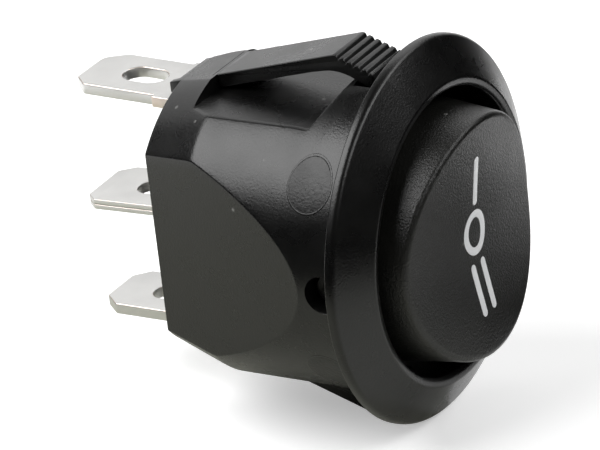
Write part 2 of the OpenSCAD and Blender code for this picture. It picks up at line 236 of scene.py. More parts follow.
def corner(before, at, after, r, steps):
    """The arc of radius r that rounds one corner, as steps + 1 points."""
    before, at, after = (np.array(q, float) for q in (before, at, after))
    u, v = before - at, after - at
    lu, lv = np.linalg.norm(u), np.linalg.norm(v)
    u, v = u / lu, v / lv
    half = math.acos(max(-1.0, min(1.0, float(u @ v)))) / 2
    if half > math.radians(89):
        return [tuple(at)]
    reach = min(r / math.tan(half), 0.48 * lu, 0.48 * lv)
    r = reach * math.tan(half)
    middle = at + (u + v) / np.linalg.norm(u + v) * r / math.sin(half)
    a, b = at + u * reach - middle, at + v * reach - middle
    turn = math.acos(max(-1.0, min(1.0, float(a @ b) / (r * r))))
    out = []
    for k in range(steps + 1):
        t = k / steps
        w = (math.sin((1 - t) * turn) * a + math.sin(t * turn) * b) / math.sin(turn)
        out.append(tuple(middle + w))
    return out


def ring_outline(points, radius, steps=4):
    """A closed outline with every corner rounded."""
    n = len(points)
    radii = radius if hasattr(radius, "__len__") else [radius] * n
    out = []
    for i in range(n):
        if radii[i] <= 0:
            out.append(tuple(points[i]))
        else:
            out += corner(points[i - 1], points[i], points[(i + 1) % n], radii[i], steps)
    return out


def block(name, x0, x1, y0, y1, z0, z1):
    """A plain block, used only as a cutter."""
    v = [(x, y, z) for x in (x0, x1) for y in (y0, y1) for z in (z0, z1)]
    f = [(0, 1, 3, 2), (4, 6, 7, 5), (0, 4, 5, 1), (2, 3, 7, 6), (0, 2, 6, 4), (1, 5, 7, 3)]
    return new_piece(name, v, f)


def turned(name, profile, axis="y", steps=96, at=(0, 0, 0), smooth_deg=35.0):
    """A closed lathe shape: profile is (radius, along) from one end of the axis to the other."""
    rings = []
    for r, t in profile:
        r = max(r, 1e-4)
        ring = []
        for k in range(steps):
            a = 2 * math.pi * k / steps
            c, s = r * math.cos(a), r * math.sin(a)
            p = (c, t, s) if axis == "y" else (t, c, s)
            ring.append((p[0] + at[0], p[1] + at[1], p[2] + at[2]))
        rings.append(ring)
    verts, faces = rings_to_mesh(rings)
    return new_piece(name, verts, faces, smooth_deg)


def plate(name, loops, thick, edge, place, steps=2):
    """A flat plate with rounded edges.

    loops are closed outlines in its own plane, the first outside and the rest
    holes. place maps (u, v, w) to the frame.
    """
    curve = bpy.data.curves.new(name, "CURVE")
    curve.dimensions = "2D"
    curve.fill_mode = "BOTH"
    curve.extrude = (thick / 2 - edge) * MM
    curve.bevel_depth = edge * MM
    curve.bevel_resolution = steps
    curve.offset = -edge * MM
    for loop in loops:
        spline = curve.splines.new("POLY")
        spline.points.add(len(loop) - 1)
        for point, (u, v) in zip(spline.points, loop):
            point.co = (u * MM, v * MM, 0, 1)
        spline.use_cyclic_u = True
    flat = bpy.data.objects.new(name + "_flat", curve)
    bpy.context.scene.collection.objects.link(flat)
    bpy.context.view_layer.update()
    made = bpy.data.meshes.new_from_object(flat.evaluated_get(bpy.context.evaluated_depsgraph_get()))
    drop(flat)
    bm = bmesh.new()
    bm.from_mesh(made)
    bmesh.ops.remove_doubles(bm, verts=bm.verts, dist=1e-7)
    for v in bm.verts:
        v.co = Vector([c * MM for c in place(v.co.x / MM, v.co.y / MM, v.co.z / MM)])
    bmesh.ops.recalc_face_normals(bm, faces=bm.faces)
    bm.to_mesh(made)
    bm.free()
    piece = bpy.data.objects.new(name, made)
    made.name = name
    bpy.context.scene.collection.objects.link(piece)
    finish_shading(made, 40)
    return piece


def join_pieces(name, parts):
    """Several closed shells as one piece."""
    bm = bmesh.new()
    for o in parts:
        bm.from_mesh(o.data)
    mesh = bpy.data.meshes.new(name)
    bm.to_mesh(mesh)
    bm.free()
    drop(*parts)
    piece = bpy.data.objects.new(name, mesh)
    bpy.context.scene.collection.objects.link(piece)
    finish_shading(mesh, 40)
    return piece


# ---- housing ----


def clamp(t):
    return min(1.0, max(0.0, t))


def ramp(t):
    """A smooth rise from 0 to 1."""
    t = clamp(t)
    return t * t * (3 - 2 * t)


def body_radius(y):
    """Radius of the barrel and its tapered end, with the turn between them eased."""
    over = y - TAPER_Y
    ease = 0.18
    eased = 0.5 * (over + math.sqrt(over * over + ease * ease))
    excess = 0.5 * (math.sqrt(TAPER_LEN_SQUARE + ease * ease) - TAPER_LEN)
    return BODY_R - (eased - excess * max(0.0, over) / TAPER_LEN) * TAPER_TAN


def flat_at(y):
    """Distance of the slanted side flats from the axis."""
    return FLAT_X + (BODY_END - y) * FLAT_TAN


def top_at(y):
    """Height of the pocket floor, its front slope, and the plane that the latch grows out of."""
    if y > WALL_END_Y:
        return LATCH_Z + (BODY_END - y) * LATCH_TAN
    slope = (POCKET_FRONT - y) / POCKET_TAN
    ease = 0.5
    rise = slope + math.sqrt(slope * slope + ease * ease)
    return POCKET_Z + 0.5 * rise - 0.5 * ease * math.exp(-abs(slope) / ease * 0.7)


FLAT_START = BODY_END - (BODY_R - FLAT_X) / FLAT_TAN
SLOPE_START = POCKET_FRONT - (BODY_R - POCKET_Z) * POCKET_TAN


def quarter(y, r, flat, top):
    """A quarter of one ring of the body, from the side flat round to the top, as 54 points."""
    edge = 0.085 + 0.11 * ramp((POCKET_FRONT + 0.2 - y) / 0.7)
    has_flat = flat < r * 0.99999
    has_top = top < r * 0.99999
    behind = y > WALL_END_Y
    if has_flat:
        tf = math.acos(flat / r)
    else:
        tf = math.radians(1.0 + 22 * clamp((FLAT_START - y) / 2.6))
    plane = math.acos(min(0.999, top / r)) if behind else 0.0
    if behind:
        tt = max(math.acos(POCKET_Z / body_radius(POCKET_REAR)), plane + 0.02)
    elif has_top:
        tt = math.acos(top / r)
    else:
        tt = math.radians(1.0 + 18 * clamp((SLOPE_START - y) / 2.4))
    ef = min(edge / r, 0.3 * tf)
    et = min(edge / r, 0.3 * tt)
    hi = math.pi / 2 - tt
    pts = []
    for k in range(13):
        if has_flat:
            pts.append((flat, r * math.sin(tf) * k / 12 * (1 - ef / tf)))
        else:
            a = (tf - ef) * k / 12
            pts.append((r * math.cos(a), r * math.sin(a)))
    soft = 0.28 * r * ef * math.sin(tf / 2) if has_flat else 0.0
    pts.append(((r - soft) * math.cos(tf), (r - soft) * math.sin(tf)))
    for k in range(17):
        a = tf + ef + (hi - et - tf - ef) * k / 16
        pts.append((r * math.cos(a), r * math.sin(a)))
    soft = 0.28 * r * et * math.sin(tt / 2) if has_top and not behind else 0.0
    pts.append(((r - soft) * math.cos(hi), (r - soft) * math.sin(hi)))
    # the part that is pocket floor in front and barrel behind
    split = plane / tt if behind else 0.54
    for k in range(1, 9):
        f = 1 - (1 - split) * k / 9
        if behind:
            a = math.pi / 2 - tt * f
            pts.append((r * math.cos(a), r * math.sin(a)))
        else:
            x = r * math.sin(tt) * (1 - et / tt) * f
            pts.append((x, top if has_top else math.sqrt(r * r - x * x)))
    ep = min(edge / r, 0.2 * tt)
    for k in range(14):
        if behind:
            if k == 0:
                a = math.pi / 2 - plane - ep
                pts.append((r * math.cos(a), r * math.sin(a)))
            elif k == 1:
                soft = 0.28 * r * ep * math.sin(plane / 2)
                a = math.pi / 2 - plane
                pts.append(((r - soft) * math.cos(a), (r - soft) * math.sin(a)))
            else:
                pts.append((r * math.sin(plane) * (1 - ep / plane) * (1 - (k - 2) / 11), top))
        else:
            x = r * math.sin(tt) * (1 - et / tt) * split * (1 - k / 13)
            pts.append((x, top if has_top else math.sqrt(r * r - x * x)))
    return [(max(0.0, x), z) for x, z in pts]


def full_ring(y, r, flat=1e3, top=1e3):
    """One ring of the body, from four mirrored quarters."""
    q = quarter(y, r, flat, top)
    one = q[:-1]
    two = [(-x, z) for x, z in q[::-1]][:-1]
    three = [(-x, -z) for x, z in q][:-1]
    four = [(x, -z) for x, z in q[::-1]][:-1]
    return [(x, y, z) for x, z in one + two + three + four]


def ease_corner(x, y, z):
    """Draws in the shoulder behind the pockets on the right side, where the tool's edge is rounded from wear.
    """
    if y < POCKET_REAR + 0.03 or abs(z) < 7.5 or x < 1.9:
        return x, y, z
    down = 0.26 * ramp((13.6 - y) / 1.7) * ramp((x - 1.9) / 1.1) * ramp((5.3 - x) / 0.9)
    return x, y, z - math.copysign(down, z)


def housing_skin():
    """The well, lip, bezel and barrel as one stack of rings, before anything is cut."""
    rim_soft = 0.18
    rim_y = -RIM_H - rim_soft
    rim_y += rim_soft * (rim_y - CREST_Y) / (BEZEL_R - rim_soft - LIP_R)
    seat_r = BEZEL_R - 0.65
    rear_edge = 0.12
    edge_y = REAR_Y - rear_edge
    front = [
        (WELL_R, WELL_DEPTH), (WELL_R, 1.2), (WELL_R, 0.4 * CREST_Y),
        (WELL_R, CREST_Y + LIP_DROP), (LIP_R - 0.36, CREST_Y + 0.055), (LIP_R, CREST_Y),
        (BEZEL_R, rim_y), (BEZEL_R, 0.0), (seat_r, 0.0),
        (seat_r, -0.1), (BODY_R, -0.1), (BODY_R, 0.35)]
    radii = [0, 0, 0, 0.22, 0.5, 0.3, 0.5, 0.08, 0.03, 0.03, 0.05, 0]
    profile = round_corners(front, radii, 6)
    rings = [full_ring(y, r) for r, y in profile]
    ys = [0.6, 0.9, 1.2, 1.6, 2.0, 2.3, SLOPE_START - 0.02]
    ys += list(np.linspace(SLOPE_START + 0.015, POCKET_FRONT + 0.5, 20))
    ys += [FLAT_START - 0.02, FLAT_START + 0.015, FLAT_START + 0.06, FLAT_START + 0.14]
    ys += list(np.linspace(POCKET_FRONT + 0.9, TAPER_Y - 0.5, 12))
    ys += list(TAPER_Y + np.array([-0.3, -0.18, -0.09, 0, 0.09, 0.18, 0.3, 0.6, 0.9]))
    ys += [POCKET_REAR - 0.03, POCKET_REAR, POCKET_REAR + 0.04, POCKET_REAR + 0.09]
    ys += [12.2, 12.6, 13.0, 13.5, 13.9, 14.2, edge_y]
    ys = sorted(y for y in ys if not POCKET_REAR + 0.0001 < y < POCKET_REAR + 0.0399)
    kept = [ys[0]]
    for y in ys[1:]:
        if y - kept[-1] > 0.011:
            kept.append(y)
    for y in kept:
        rings.append(full_ring(y, body_radius(y), flat_at(y), top_at(y)))
    for k in range(1, 5):
        a = math.pi / 2 * k / 4
        y = REAR_Y - rear_edge * (1 - math.sin(a))
        inset = rear_edge * (1 - math.cos(a))
        reaches = (body_radius(edge_y), flat_at(edge_y), top_at(edge_y))
        rings.append(full_ring(y, *(reach - inset for reach in reaches)))
    verts, faces = rings_to_mesh([[ease_corner(*p) for p in ring] for ring in rings])
    return new_piece("housing_shell", verts, faces, 40)


def hub_relief():
    """The relief in the well floor beside the rocker's hub."""
    a0 = math.asin(4.0 / WELL_R)
    arc = [(WELL_R * math.cos(a), WELL_R * math.sin(a)) for a in np.linspace(-a0, a0, 24)]
    loop = arc + [(-x, -z) for x, z in arc]
    rings = [[(x, y, z) for x, z in loop] for y in (1.0, 3.2)]
    return new_piece("hub_relief", *rings_to_mesh(rings))


def crisp_wall(shell):
    """Keeps the pockets' rear walls flat right down to where they run out."""
    bm = bmesh.new()
    bm.from_mesh(shell.data)
    for face in bm.faces:
        ys = [v.co.y / MM for v in face.verts]
        if min(ys) > POCKET_REAR - 0.002 and max(ys) < POCKET_REAR + 0.042:
            for edge in face.edges:
                edge.smooth = False
    bm.to_mesh(shell.data)
    bm.free()


def make_housing():
    """The housing's skin with its chamber, trunnion bore, terminal slots and latch gaps cut out."""
    shell = housing_skin()
    mouth_r = HOLE_R + 0.07
    bore = [(mouth_r, -12), (mouth_r, -9.84), (HOLE_R, -9.72),
            (HOLE_R, 9.72), (mouth_r, 9.84), (mouth_r, 12)]
    cutters = [
        block("chamber", -5.4, 5.4, 1.4, 9.5, -7.2, 7.2),
        block("chamber_rear", -4.4, 4.4, 8.5, CHAMBER_END, -7.0, 7.0),
        block("feet", -2.05, 2.05, FOOT_Y - 0.05, CHAMBER_END, -7.53, 7.53),
        hub_relief(),
        turned("trunnion_bore", bore, "x", 64, (0, HINGE_Y, 0)),
    ]
    for z in (-BLADE_Z, 0, BLADE_Z):
        cutters.append(block("slot", -2.675, 2.675, CHAMBER_END - 0.2, BODY_END + 0.5, z - 0.4, z + 0.4))
    for s in (-1, 1):
        # the fine seam across the root of the latch
        z0, z1 = sorted((s * (top_at(LATCH_ROOT_Y) - 0.07), s * 12))
        half = LATCH_HALF + 0.05
        cutters.append(block("seam", -half, half, LATCH_ROOT_Y - 0.01, LATCH_ROOT_Y + 0.05, z0, z1))
        # the gap round the latch's free end
        z0, z1 = sorted((s * (BODY_R - 0.75), s * 12))
        half = LATCH_HALF + 0.3
        cutters.append(block("latch_relief", -half, half, LATCH_END_Y - 0.3, RELIEF_END_Y, z0, z1))
    for c in cutters:
        cut(shell, c)
    settle(shell, 32)
    drop(*cutters)
    crisp_wall(shell)
    weigh_normals(shell)
    settle(shell, None)
    return shell


def latch_profile(stand_out):
    """The side view of a latch arm, round from its root over the top.

    Each point is (y, z, normal y, normal z). stand_out is how far the arm's
    crest springs out.
    """
    root = LATCH_ROOT_Y
    proud = -0.004
    crest_z = LATCH_Z + (BODY_END - CREST_LATCH_Y) * LATCH_TAN + proud + stand_out
    arm_n = (LATCH_TAN / math.hypot(1, LATCH_TAN), 1 / math.hypot(1, LATCH_TAN))
    rib_n = (-RIB_TAN / math.hypot(1, RIB_TAN), 1 / math.hypot(1, RIB_TAN))

    def arm_z(y):
        return LATCH_Z + (BODY_END - y) * LATCH_TAN + proud + stand_out * (root - y) / (root - CREST_LATCH_Y)

    pts = [(root, arm_z(root) - 0.08, 1.0, 0.1), (root, arm_z(root) - 0.012, 0.9, 0.4)]
    for y in np.linspace(root - 0.012, CREST_LATCH_Y + 0.1, 14):
        pts.append((y, arm_z(y), *arm_n))
    pts.append((CREST_LATCH_Y + 0.02, crest_z - 0.01, 0.0, 1.0))
    y0 = CREST_LATCH_Y + 0.09
    z0 = crest_z + 0.012
    rib = ((0.0, 0.0), (0.1, 0.02), (0.44, 0.03), (0.55, 0.0),
           (0.66, -0.1), (0.73, -RIB_DEPTH), (0.84, -RIB_DEPTH), (0.93, -0.07))
    for i in range(6):
        for f, dz in rib:
            y = y0 - (i + f) * RIB_PITCH
            if LATCH_END_Y + 0.05 < y < CREST_LATCH_Y - 0.05:
                pts.append((y, z0 - (y0 - y) * RIB_TAN + dz, *rib_n))
    end_z = crest_z - (CREST_LATCH_Y - LATCH_END_Y) * RIB_TAN
    pts.append((LATCH_END_Y + 0.03, end_z - 0.07, -0.7, 0.7))
    pts.append((LATCH_END_Y, end_z - 0.12, -1.0, 0.2))
    pts.append((LATCH_END_Y, end_z - LATCH_T + 0.05, -1.0, -0.2))
    pts.append((LATCH_END_Y + 0.05, end_z - LATCH_T, -0.6, -0.8))
    # the underside, as (along from the crest, down from the arm's thickness)
    under = ((-1.9, -0.24 - 1.62 * RIB_TAN), (-1.4, -0.21 - 1.1 * RIB_TAN), (-0.95, -0.40), (-0.6, -0.30),
             (-0.25, -0.225), (0.1, -0.195), (0.45, -0.2), (0.8, -0.8 * LATCH_TAN - 0.05))
    for along, down in under:
        pts.append((CREST_LATCH_Y + along, crest_z + (down - LATCH_T), 0.0, -1.0))
    for y in np.linspace(CREST_LATCH_Y + 1.6, root, 10):
        pts.append((y, arm_z(y) - proud - LATCH_T, -arm_n[0], -arm_n[1]))
    return pts


def make_latch(name, side, stand_out):
    """A ribbed latch arm, the upper one for side 1 and the lower one for side -1."""
    pts = latch_profile(stand_out)
    edge = 0.075
    bevel = ((0.0, edge), (edge * 0.13, edge * 0.5), (edge * 0.5, edge * 0.13), (edge, 0.0))
    stations = [(step - LATCH_HALF, inset) for step, inset in bevel]
    stations.append((0.0, 0.0))
    stations += [(LATCH_HALF - step, inset) for step, inset in reversed(bevel)]
    rings = []
    for x, inset in stations:
        rings.append([(x, y - ny * inset, side * (z - nz * inset)) for y, z, ny, nz in pts])
    verts, faces = rings_to_mesh(rings)
    latch = new_piece(name, verts, faces, 30)
    weigh_normals(latch)
    return settle(latch, 30)


def latch_tail(name, side):
    """The arm's own end, which runs out through the rear face over the blade.

    The stub of its gate is at the left.
    """
    thick = 0.66
    end = [(-LATCH_HALF, 14.1), (LATCH_HALF, 14.1), (LATCH_HALF, 14.8),
           (-1.25, 14.8), (-1.35, 15.2), (-LATCH_HALF, 15.22)]

    def place(x, y, over):
        return (x, y, side * (LATCH_Z + (BODY_END - y) * LATCH_TAN - 0.003 - thick / 2 + over))

    return plate(name, [ring_outline(end, 0.06)], thick, 0.05, place)


def ejector_ring(name, y, z, side):
    """The faint raised line that a moulding pin leaves on the barrel."""
    rings = []
    for k in range(72):
        a = 2 * math.pi * k / 72
        ring = []
        for j in range(6):
            b = 2 * math.pi * j / 6
            r = EJECTOR_R + 0.06 * math.cos(b)
            yy, zz = y + r * math.cos(a), z + r * math.sin(a)
            rad = BODY_R + 0.014 * math.sin(b) - 0.003
            ring.append((side * math.sqrt(max(0.0, rad * rad - zz * zz)), yy, zz))
        rings.append(ring)
    verts = [p for r in rings for p in r]
    faces = [(i * 6 + j, i * 6 + (j + 1) % 6, ((i + 1) % 72) * 6 + (j + 1) % 6, ((i + 1) % 72) * 6 + j)
             for i in range(72) for j in range(6)]
    return new_piece(name, verts, faces, 60)


def ejector_disc(name, y, z, side):
    """The pin's own end, a little proud and coarser than the barrel round it."""
    rings = []
    profile = ((1.36, -0.05), (1.36, 0.002), (1.3, 0.006), (1.0, 0.007),
               (0.7, 0.007), (0.4, 0.007), (0.12, 0.007))
    for r, rise in profile:
        ring = []
        for k in range(72):
            a = 2 * math.pi * k / 72
            yy, zz = y + r * math.cos(a), z + r * math.sin(a)
            ring.append((side * math.sqrt((BODY_R + rise) ** 2 - zz * zz), yy, zz))
        rings.append(ring)
    return new_piece(name, *rings_to_mesh(rings), 60)


# ---- rocker ----


def face_height(x, z):
    """Height of the rocker's face over the panel: a soft V that also falls away to both sides."""
    slope = 0.128 + 0.03 * max(0.0, 1 - (x / 7) ** 2)
    return FACE_H + math.sqrt((slope * z) ** 2 + 0.238 ** 2) - 0.238 - 0.308 * (x / 7) ** 2


def wall_radius(y):
    """Radius of the rocker's drafted wall."""
    return FACE_R + DRAFT * (y + FACE_H + 0.5)


def make_rocker_cap():
    """The rocker's dished face, its rounded edge, wall and hollow back, as columns round the axis."""
    steps = 200
    edge = 0.34
    columns = []
    for k in range(steps):
        a = 2 * math.pi * k / steps
        c, s = math.cos(a), math.sin(a)
        rc = FACE_R
        for _ in range(6):
            yc = -face_height(rc * c, rc * s)
            rc = wall_radius(yc)
        col = []
        inner = rc - edge * 1.05
        for t in np.linspace(0.02, 1, 26):
            r = inner * t
            col.append((r, -face_height(r * c, r * s)))
        p0 = np.array(col[-1])
        p2 = np.array((wall_radius(yc + edge), yc + edge))
        slope = (face_height(rc * c, rc * s) - face_height(inner * c, inner * s)) / (rc - inner)
        p1 = np.array((rc, p0[1] - slope * (rc - inner)))
        for j in range(1, 8):
            t = j / 8
            w = 0.72
            b0, b1, b2 = (1 - t) ** 2, 2 * w * t * (1 - t), t * t
            col.append(tuple((b0 * p0 + b1 * p1 + b2 * p2) / (b0 + b1 + b2)))
        for y in np.linspace(yc + edge, SKIRT_Y - 0.08, 12):
            col.append((wall_radius(y), y))
        outer = wall_radius(SKIRT_Y)
        col += [(outer - 0.02, SKIRT_Y - 0.03), (outer - 0.1, SKIRT_Y), (outer - 1.2, SKIRT_Y),
                (outer - 1.3, SKIRT_Y - 0.1), (outer - 1.3, -FACE_H + 1.6),
                (outer - 1.5, -FACE_H + 1.5), (0.2, -FACE_H + 1.5)]
        columns.append([(r * c, y, r * s) for r, y in col])
    rings = [[col[i] for col in columns] for i in range(len(columns[0]))]
    verts, faces = rings_to_mesh(rings)
    return new_piece("rocker_cap", verts, faces, 50)


def make_rocker_works():
    """What the cap stands on: web, trunnions and the stem that holds the spring."""
    web = ring_outline([(-7.3, -2.2), (7.3, -2.2), (7.3, 2.25), (-7.3, 2.25)], 0.3)
    parts = [plate("web", [web], 3.2, 0.12, lambda u, v, w: (u, v, w))]
    # a shallow dimple in the end keeps the trunnion from sinking as it cools
    trunnion = ((0.0, 7.0), (1.05, 7.0), (1.05, TRUNNION_X - 0.15), (0.9, TRUNNION_X), (0.55, TRUNNION_X),
                (0.5, TRUNNION_X - 0.05), (0.45, TRUNNION_X - 0.5), (0.0, TRUNNION_X - 0.55))
    for s in (-1, 1):
        parts.append(turned("trunnion", [(r, s * x) for r, x in trunnion], "x", 48, (0, HINGE_Y, 0)))
    stem = [(0.0, -2.1), (1.8, -2.1), (1.8, STEM_END - 0.12), (1.68, STEM_END), (1.27, STEM_END),
            (1.17, STEM_END - 0.1), (1.17, 2.5), (0.0, 2.5)]
    parts.append(turned("stem", stem, "y", 48))
    return join_pieces("rocker_works", parts)


# ---- printed marks ----


def printed_stroke(name, stations, closed):
    """A stroke of print that follows the face: stations are (x, z, across x, across z, half width)."""
    section = ((-1.0, -0.03), (-1.0, 0.008), (-0.9, 0.018), (0.0, 0.02),
               (0.9, 0.018), (1.0, 0.008), (1.0, -0.03))
    rings = []
    for x, z, ax, az, half in stations:
        ring = []
        for across, over in section:
            px, pz = x + ax * half * across, z + az * half * across
            ring.append((px, -face_height(px, pz) - over, pz))
        rings.append(ring)
    verts, faces = rings_to_mesh(rings, not closed)
    if closed:
        count, last = len(section), len(rings) - 1
        for k in range(count):
            after = (k + 1) % count
            faces.append((last * count + k, last * count + after, after, k))
    return new_piece(name, verts, faces, 60)


def bar_stations(x0, z0, x1, z1, width):
    """A straight bar with round ends between two end points, (x, z) each."""
    half = width / 2
    length = math.hypot(x1 - x0, z1 - z0)
    ux, uz = (x1 - x0) / length, (z1 - z0) / length
    ends = [half * (1 - math.cos(a)) for a in np.linspace(0.25, math.pi / 2, 7)]
    middle = list(np.linspace(half, length - half, 22))[1:-1]
    out = []
    for t in ends + middle + [length - e for e in ends[::-1]]:
        off = max(0.0, half - t, t - (length - half))
        out.append((x0 + ux * t, z0 + uz * t, uz, -ux, math.sqrt(max(1e-4, half * half - off * off))))
    return out


def ring_stations(x, z, wide, high, side_w, end_w, lean):
    """An oval ring, a little heavier at its ends than at its sides."""
    out = []
    for k in range(96):
        a = 2 * math.pi * k / 96
        w = side_w + (end_w - side_w) * math.sin(a) ** 2
        px, pz = (wide / 2 - w / 2) * math.cos(a), (high / 2 - w / 2) * math.sin(a)
        nx, nz = math.cos(a) / (wide / 2), math.sin(a) / (high / 2)
        size = math.hypot(nx, nz)
        out.append((x + px + lean * pz, z + pz, nx / size, nz / size, w / 2))
    return out


def make_marks():
    """The three position marks, each in the box of its own node."""
    low, high = box_mm("mark_one")
    one = printed_stroke("print_one", bar_stations(0.13, low[2], 0.13, high[2], 0.5), False)
    low, high = box_mm("mark_off")
    wide, high_z = high[0] - low[0], high[2] - low[2]
    ring = ring_stations(0.02, (low[2] + high[2]) / 2, wide, high_z, 0.53, 0.46, 0.02)
    off = printed_stroke("print_off", ring, True)
    low, high = box_mm("mark_two")
    two = join_pieces("print_two", [
        printed_stroke("bar_left", bar_stations(-0.74, high[2], -0.55, low[2], 0.51), False),
        printed_stroke("bar_right", bar_stations(0.4, high[2] + 0.02, 0.57, low[2] + 0.06, 0.5), False)])
    return one, off, two


# ---- terminals ----


def blade_outline(tip, wide, shoulder, shoulder_y, root_y, inner_x, inner_y, near, far):
    """A blade's flat outline. near and far are the tip's chamfers as (across, along, corner radius)."""
    h = wide / 2
    step = shoulder / 2
    pts = [(-inner_x, inner_y), (-inner_x, root_y), (-step, root_y), (-step, shoulder_y),
           (-h, shoulder_y), (-h, tip - near[1]), (-h + near[0], tip),
           (h - far[0], tip), (h, tip - far[1]), (h, shoulder_y),
           (step, shoulder_y), (step, root_y), (inner_x, root_y), (inner_x, inner_y)]
    radii = [0.05, 0, 0, 0.08, 0.03, near[2], near[2], far[2], far[2], 0.03, 0.08, 0, 0, 0.05]
    return ring_outline(pts, radii, 5)


def long_hole(tip, start, half_w, length):
    """The wire eye: a long hole with round ends, start back from the tip."""
    middle = tip - start - length / 2
    reach = length / 2 - half_w
    loop = []
    for k in range(44):
        a = 2 * math.pi * k / 44
        end = reach if math.sin(a) >= 0 else -reach
        loop.append((half_w * math.cos(a), middle + half_w * math.sin(a) + end))
    return loop


def make_blade(name, node, z, pitch, roll, near, far, eye, folded=False):
    """One terminal, from its tip to the parts inside the housing.

    pitch lifts the tip and roll lowers the near edge, both as a share of
    length, because blades are never quite true.
    """
    low, high = box_mm(node)
    tip = high[1]
    root = CHAMBER_END

    def place(across, along, over, lift=0.0):
        out = max(0.0, along - root)
        return (across, along, z + lift + over + pitch * out + roll * across * min(1.0, out / 3))

    parts = []
    hole = long_hole(tip, *eye)
    if folded:
        leaf = blade_outline(tip, BLADE_W, SHOULDER_W, SHOULDER_Y, root, 2.2, low[1] + 0.65, near, far)
        for s in (-1, 1):
            lift = s * 0.17
            parts.append(plate("leaf", [leaf, hole], 0.31, 0.05, lambda u, v, w, d=lift: place(u, v, w, d)))
        core = blade_outline(tip - 0.1, 4.5, 5.04, 16.0, root, 2.1, low[1] + 0.75, near, far)
        core_hole = [(x * 1.04, y) for x, y in hole]
        parts.append(plate("core", [core, core_hole], 0.2, 0.02, place))
        for s in (-1, 1):
            ear = [(s * 1.75, low[1]), (s * 2.2, low[1]), (s * 2.2, low[1] + 1.3), (s * 1.75, low[1] + 1.3)]
            parts.append(plate("ear", [ear[::s]], 0.7, 0.05, lambda u, v, w: (u, v, z + w)))
    else:
        side = 1 if z > 0 else -1
        leaf = blade_outline(tip, BLADE_W, SHOULDER_W, SHOULDER_Y, root, 2.0, FOOT_Y, near, far)
        parts.append(plate("leaf", [leaf, hole], BLADE_T, 0.085, place, 3))
        z0, z1 = sorted((side * 3.5, side * (BLADE_Z + 0.3)))
        angles = np.linspace(0, 2 * math.pi, 33)[:-1]
        rivet = [(0.62 * math.cos(a), side * 5.0 + 0.62 * math.sin(a)) for a in angles]
        foot = [(-2.0, z0), (2.0, z0), (2.0, z1), (-2.0, z1)]
        parts.append(plate("foot", [foot, rivet], BLADE_T, 0.05, lambda u, v, w: (u, FOOT_Y + 0.35 + w, v)))
    return join_pieces(name, parts)


# ---- materials ----


def group_input(tree, name, kind, value):
    socket = tree.interface.new_socket(name=name, in_out="INPUT", socket_type=kind)
    if value is not None:
        socket.default_value = value
    return socket


def grain_group():
    """Moulded grain: a fine height, a slow mottle and scattered pale flecks, in the piece's own space."""
    tree = bpy.data.node_groups.new("moulded_grain", "ShaderNodeTree")
    group_input(tree, "Grain size", "NodeSocketFloat", 5000.0)
    group_input(tree, "Mottle size", "NodeSocketFloat", 400.0)
    group_input(tree, "Fleck size", "NodeSocketFloat", 700.0)
    group_input(tree, "Fleck share", "NodeSocketFloat", 0.08)
    for name in ("Height", "Mottle", "Fleck"):
        tree.interface.new_socket(name=name, in_out="OUTPUT", socket_type="NodeSocketFloat")
    n, link = tree.nodes, tree.links.new
    inp, out = n.new("NodeGroupInput"), n.new("NodeGroupOutput")
    place = n.new("ShaderNodeTexCoord")
    fine = n.new("ShaderNodeTexNoise")
    fine.inputs["Detail"].default_value = 3.0
    fine.inputs["Roughness"].default_value = 0.6
    slow = n.new("ShaderNodeTexNoise")
    slow.inputs["Detail"].default_value = 4.0
    cells = n.new("ShaderNodeTexVoronoi")
    cells.feature = "F1"
    mask = n.new("ShaderNodeMapRange")
    mask.inputs["From Min"].default_value = 0.06
    mask.inputs["From Max"].default_value = 0.11
    mask.inputs["To Min"].default_value = 1.0
    mask.inputs["To Max"].default_value = 0.0
    mask.interpolation_type = "SMOOTHSTEP"
    pick = n.new("ShaderNodeSeparateColor")
    gate = n.new("ShaderNodeMath")
    gate.operation = "LESS_THAN"
    both = n.new("ShaderNodeMath")
    both.operation = "MULTIPLY"
    for tex, size in ((fine, "Grain size"), (slow, "Mottle size"), (cells, "Fleck size")):
        link(place.outputs["Object"], tex.inputs["Vector"])
        link(inp.outputs[size], tex.inputs["Scale"])
    link(cells.outputs["Distance"], mask.inputs["Value"])
    link(cells.outputs["Color"], pick.inputs["Color"])
    link(pick.outputs["Red"], gate.inputs[0])
    link(inp.outputs["Fleck share"], gate.inputs[1])
    link(mask.outputs["Result"], both.inputs[0])
    link(gate.outputs["Value"], both.inputs[1])
    link(fine.outputs["Fac"], out.inputs["Height"])
    link(slow.outputs["Fac"], out.inputs["Mottle"])
    link(both.outputs["Value"], out.inputs["Fleck"])
    return tree


GRAIN = grain_group()


def blend_colour(nodes_, links, factor, dark, light):
    """A colour between dark and light."""
    mix = nodes_.new("ShaderNodeMix")
    mix.data_type = "RGBA"
    mix.inputs["A"].default_value = (*dark, 1)
    mix.inputs["B"].default_value = (*light, 1)
    links.new(factor, mix.inputs["Factor"])
    return mix


def spread(nodes_, links, source, low, high):
    """Stretches the middle of a noise over the range from low to high."""
    step = nodes_.new("ShaderNodeMapRange")
    step.inputs["From Min"].default_value = 0.3
    step.inputs["From Max"].default_value = 0.7
    step.inputs["To Min"].default_value = low
    step.inputs["To Max"].default_value = high
    links.new(source, step.inputs["Value"])
    return step.outputs["Result"]


